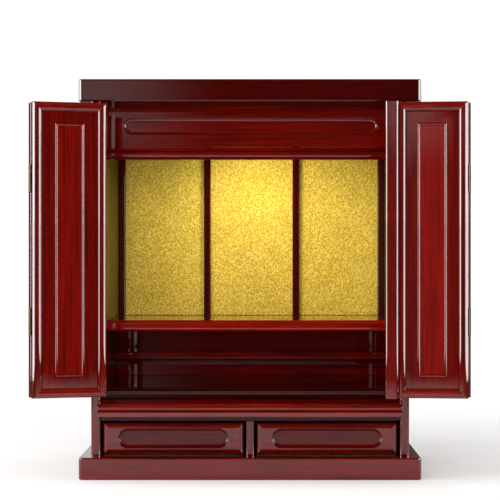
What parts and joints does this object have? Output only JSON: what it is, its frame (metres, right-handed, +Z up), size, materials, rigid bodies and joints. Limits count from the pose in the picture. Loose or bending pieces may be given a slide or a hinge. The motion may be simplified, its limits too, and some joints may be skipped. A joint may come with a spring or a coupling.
{
  "type": "household altar cabinet",
  "caption": "Tabletop household altar cabinet with folding doors, gold-lined niche, shelf, pull-out board and drawers, shown open.",
  "frame": {"origin": "middle of the plinth board's flat underside", "axes": "+Z up, the open front faces -Y, +X to the right of someone who looks into the cabinet"},
  "size_m": [0.47, 0.2669, 0.4324],
  "materials": {
    "red_brown_lacquered_wood": "stained wood under clear high-gloss lacquer",
    "plain_drawer_wood": "plain planed wood",
    "gold_leaf_paper": "crinkled gold leaf on paper",
    "dark_brass": "darkened brass"
  },
  "bodies": {
    "cabinet": {"plinth_board": "red_brown_lacquered_wood", "top_board": "red_brown_lacquered_wood", "left_side_panel": "red_brown_lacquered_wood", "right_side_panel": "red_brown_lacquered_wood", "back_board": "red_brown_lacquered_wood", "drawer_partition": "red_brown_lacquered_wood", "tray_rail": "red_brown_lacquered_wood", "deck": "red_brown_lacquered_wood", "upper_shelf": "red_brown_lacquered_wood", "lower_back_panel": "red_brown_lacquered_wood", "low_ledge": "red_brown_lacquered_wood", "header_panel": "red_brown_lacquered_wood", "lintel_moulding": "red_brown_lacquered_wood", "gold_back_panel": "gold_leaf_paper", "left_gold_lining": "gold_leaf_paper", "right_gold_lining": "gold_leaf_paper", "middle_post_1": "red_brown_lacquered_wood", "middle_post_2": "red_brown_lacquered_wood", "left_corner_post": "red_brown_lacquered_wood", "right_corner_post": "red_brown_lacquered_wood", "left_lower_body_hinge": "dark_brass", "left_upper_body_hinge": "dark_brass", "right_lower_body_hinge": "dark_brass", "right_upper_body_hinge": "dark_brass"},
    "left_main_door": {"left_main_leaf_frame": "red_brown_lacquered_wood", "left_main_leaf_panel": "red_brown_lacquered_wood", "left_lower_leaf_hinge": "dark_brass", "left_upper_leaf_hinge": "dark_brass", "left_lower_fold_hinge_a": "dark_brass", "left_upper_fold_hinge_a": "dark_brass"},
    "left_fold_door": {"left_fold_leaf_frame": "red_brown_lacquered_wood", "left_fold_leaf_panel": "red_brown_lacquered_wood", "left_lower_fold_hinge_b": "dark_brass", "left_upper_fold_hinge_b": "dark_brass"},
    "right_main_door": {"right_main_leaf_frame": "red_brown_lacquered_wood", "right_main_leaf_panel": "red_brown_lacquered_wood", "right_lower_leaf_hinge": "dark_brass", "right_upper_leaf_hinge": "dark_brass", "right_lower_fold_hinge_a": "dark_brass", "right_upper_fold_hinge_a": "dark_brass"},
    "right_fold_door": {"right_fold_leaf_frame": "red_brown_lacquered_wood", "right_fold_leaf_panel": "red_brown_lacquered_wood", "meeting_strip": "red_brown_lacquered_wood", "right_lower_fold_hinge_b": "dark_brass", "right_upper_fold_hinge_b": "dark_brass"},
    "pull_out_board": {"pull_out_tray": "red_brown_lacquered_wood"},
    "left_drawer": {"left_drawer_front": "red_brown_lacquered_wood", "left_drawer_left_wall": "plain_drawer_wood", "left_drawer_right_wall": "plain_drawer_wood", "left_drawer_back": "plain_drawer_wood", "left_drawer_bottom": "plain_drawer_wood"},
    "right_drawer": {"right_drawer_front": "red_brown_lacquered_wood", "right_drawer_left_wall": "plain_drawer_wood", "right_drawer_right_wall": "plain_drawer_wood", "right_drawer_back": "plain_drawer_wood", "right_drawer_bottom": "plain_drawer_wood"}
  },
  "joints": [
    {"name": "left_door_hinge", "type": "hinge", "parent": "cabinet", "child": "left_main_door", "pos_m": [-0.1627, -0.094, 0], "axis": [0, 0, 1], "range_deg": [0, 155]},
    {"name": "left_door_fold", "type": "hinge", "parent": "left_main_door", "child": "left_fold_door", "pos_m": [-0.2308, -0.14341, 0], "axis": [0, 0, -1], "range_deg": [0, 169.5]},
    {"name": "right_door_hinge", "type": "hinge", "parent": "cabinet", "child": "right_main_door", "pos_m": [0.1627, -0.094, 0], "axis": [0, 0, -1], "range_deg": [0, 155]},
    {"name": "right_door_fold", "type": "hinge", "parent": "right_main_door", "child": "right_fold_door", "pos_m": [0.2308, -0.14341, 0], "axis": [0, 0, 1], "range_deg": [0, 161]},
    {"name": "board_slide", "type": "slide", "parent": "cabinet", "child": "pull_out_board", "axis": [0, -1, 0], "range_m": [-0.042, 0.06]},
    {"name": "left_drawer_slide", "type": "slide", "parent": "cabinet", "child": "left_drawer", "axis": [0, -1, 0], "range_m": [0, 0.1]},
    {"name": "right_drawer_slide", "type": "slide", "parent": "cabinet", "child": "right_drawer", "axis": [0, -1, 0], "range_m": [0, 0.1]}
  ],
  "couplings": [
    {"joint": "left_door_fold", "follows": "left_door_hinge", "ratio": 1.0935},
    {"joint": "right_door_fold", "follows": "right_door_hinge", "ratio": 1.0387}
  ]
}
